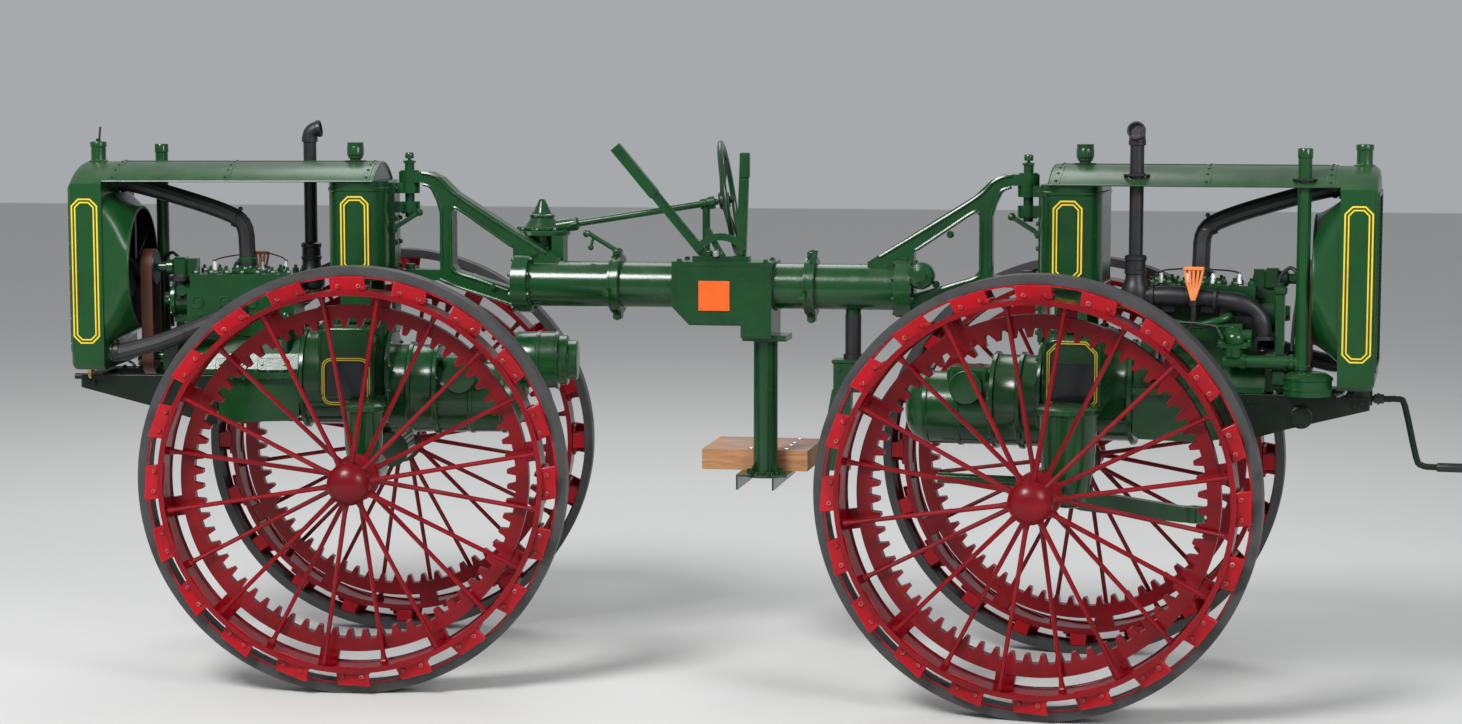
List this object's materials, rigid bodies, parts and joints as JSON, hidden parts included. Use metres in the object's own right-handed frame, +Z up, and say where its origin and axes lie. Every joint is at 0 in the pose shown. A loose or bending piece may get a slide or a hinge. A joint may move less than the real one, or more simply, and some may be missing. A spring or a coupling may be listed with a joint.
{
  "type": "tandem farm tractor made of two steel-wheeled power units",
  "caption": "Vintage tractor of two steel-wheeled power units hinged tail to tail on a centre tube with a standing platform, for field work",
  "frame": {"origin": "on the ground, below the middle of the parked tractor's outline", "axes": "+X along the centre tube towards the right power unit's radiator, +Z up, the camera side is -Y"},
  "size_m": [4.6221, 1.4234, 1.8318],
  "materials": {
    "green_paint": "gloss",
    "dark_green_paint": "satin",
    "red_paint": "gloss",
    "black_iron": "matt",
    "band_rubber": "matt",
    "hose_rubber": "satin",
    "belt_leather": "matt",
    "oak_board": "matt",
    "orange_enamel": "gloss"
  },
  "bodies": {
    "centre_frame": {"centre_tube": "green_paint", "saddle": "green_paint", "left_gooseneck": "green_paint", "right_gooseneck": "green_paint", "tube_clamps": "green_paint", "platform_post": "green_paint", "platform": "oak_board", "steering_gear": "green_paint", "steering_column": "green_paint", "hand_levers": "green_paint", "marker_plate": "orange_enamel", "foot_lever": "green_paint"},
    "left_unit": {"left_chassis": "dark_green_paint", "left_engine": "green_paint", "left_transmission": "green_paint", "left_radiator": "green_paint", "left_hood": "green_paint", "left_fuel_tank": "green_paint", "left_exhaust": "black_iron", "left_intake": "green_paint", "left_hoses": "hose_rubber", "left_fan_belt": "belt_leather", "left_fan_ring": "black_iron", "left_hitch": "green_paint", "left_starting_crank": "dark_green_paint"},
    "left_fan_rotor": {"left_fan": "black_iron"},
    "left_near_road_wheel": {"left_near_wheel": "red_paint", "left_near_road_band": "band_rubber"},
    "left_far_road_wheel": {"left_far_wheel": "red_paint", "left_far_road_band": "band_rubber"},
    "right_unit": {"right_chassis": "dark_green_paint", "right_engine": "green_paint", "right_transmission": "green_paint", "right_radiator": "green_paint", "right_hood": "green_paint", "right_fuel_tank": "green_paint", "right_exhaust": "black_iron", "right_intake": "green_paint", "right_hoses": "hose_rubber", "right_fan_belt": "belt_leather", "right_fan_ring": "black_iron", "right_hitch": "green_paint", "right_starting_crank": "dark_green_paint", "right_drawbar": "dark_green_paint"},
    "right_fan_rotor": {"right_fan": "black_iron"},
    "right_near_road_wheel": {"right_near_wheel": "red_paint", "right_near_road_band": "band_rubber"},
    "right_far_road_wheel": {"right_far_wheel": "red_paint", "right_far_road_band": "band_rubber"},
    "hand_wheel": {"steering_wheel": "green_paint"}
  },
  "joints": [
    {"name": "left_unit_swing", "type": "hinge", "parent": "centre_frame", "child": "left_unit", "pos_m": [-1.17563, 0.01771, 1.456], "axis": [0, 0, 1], "range_deg": [-39.1, 20.9]},
    {"name": "right_unit_swing", "type": "hinge", "parent": "centre_frame", "child": "right_unit", "pos_m": [0.89837, 0.01771, 1.456], "axis": [0, 0, 1], "range_deg": [-25.5, 19.5]},
    {"name": "left_near_wheel_spin", "type": "hinge", "parent": "left_unit", "child": "left_near_road_wheel", "pos_m": [-1.20319, -0.5184, 0.685], "axis": [-0.1582, 0.9874, 0], "continuous": true},
    {"name": "left_far_wheel_spin", "type": "hinge", "parent": "left_unit", "child": "left_far_road_wheel", "pos_m": [-1.36925, 0.51839, 0.685], "axis": [-0.1582, 0.9874, 0], "continuous": true},
    {"name": "left_fan_spin", "type": "hinge", "parent": "left_unit", "child": "left_fan_rotor", "pos_m": [-2.0801, -0.12716, 1.334], "axis": [-0.9874, -0.1582, 0], "continuous": true},
    {"name": "right_near_wheel_spin", "type": "hinge", "parent": "right_unit", "child": "right_near_road_wheel", "pos_m": [0.96883, -0.51446, 0.685], "axis": [0.0785, 0.9969, 0], "continuous": true},
    {"name": "right_far_wheel_spin", "type": "hinge", "parent": "right_unit", "child": "right_far_road_wheel", "pos_m": [1.05122, 0.5323, 0.685], "axis": [0.0785, 0.9969, 0], "continuous": true},
    {"name": "right_fan_spin", "type": "hinge", "parent": "right_unit", "child": "right_fan_rotor", "pos_m": [1.81155, -0.05416, 1.334], "axis": [0.9969, -0.0785, 0], "continuous": true},
    {"name": "steering_wheel_turn", "type": "hinge", "parent": "centre_frame", "child": "hand_wheel", "pos_m": [-0.11863, 0.21771, 1.562], "axis": [0.9806, 0.1181, 0.1564], "range_deg": [-480, 480]}
  ],
  "couplings": [
    {"joint": "steering_wheel_turn", "follows": "left_unit_swing", "ratio": -12}
  ]
}
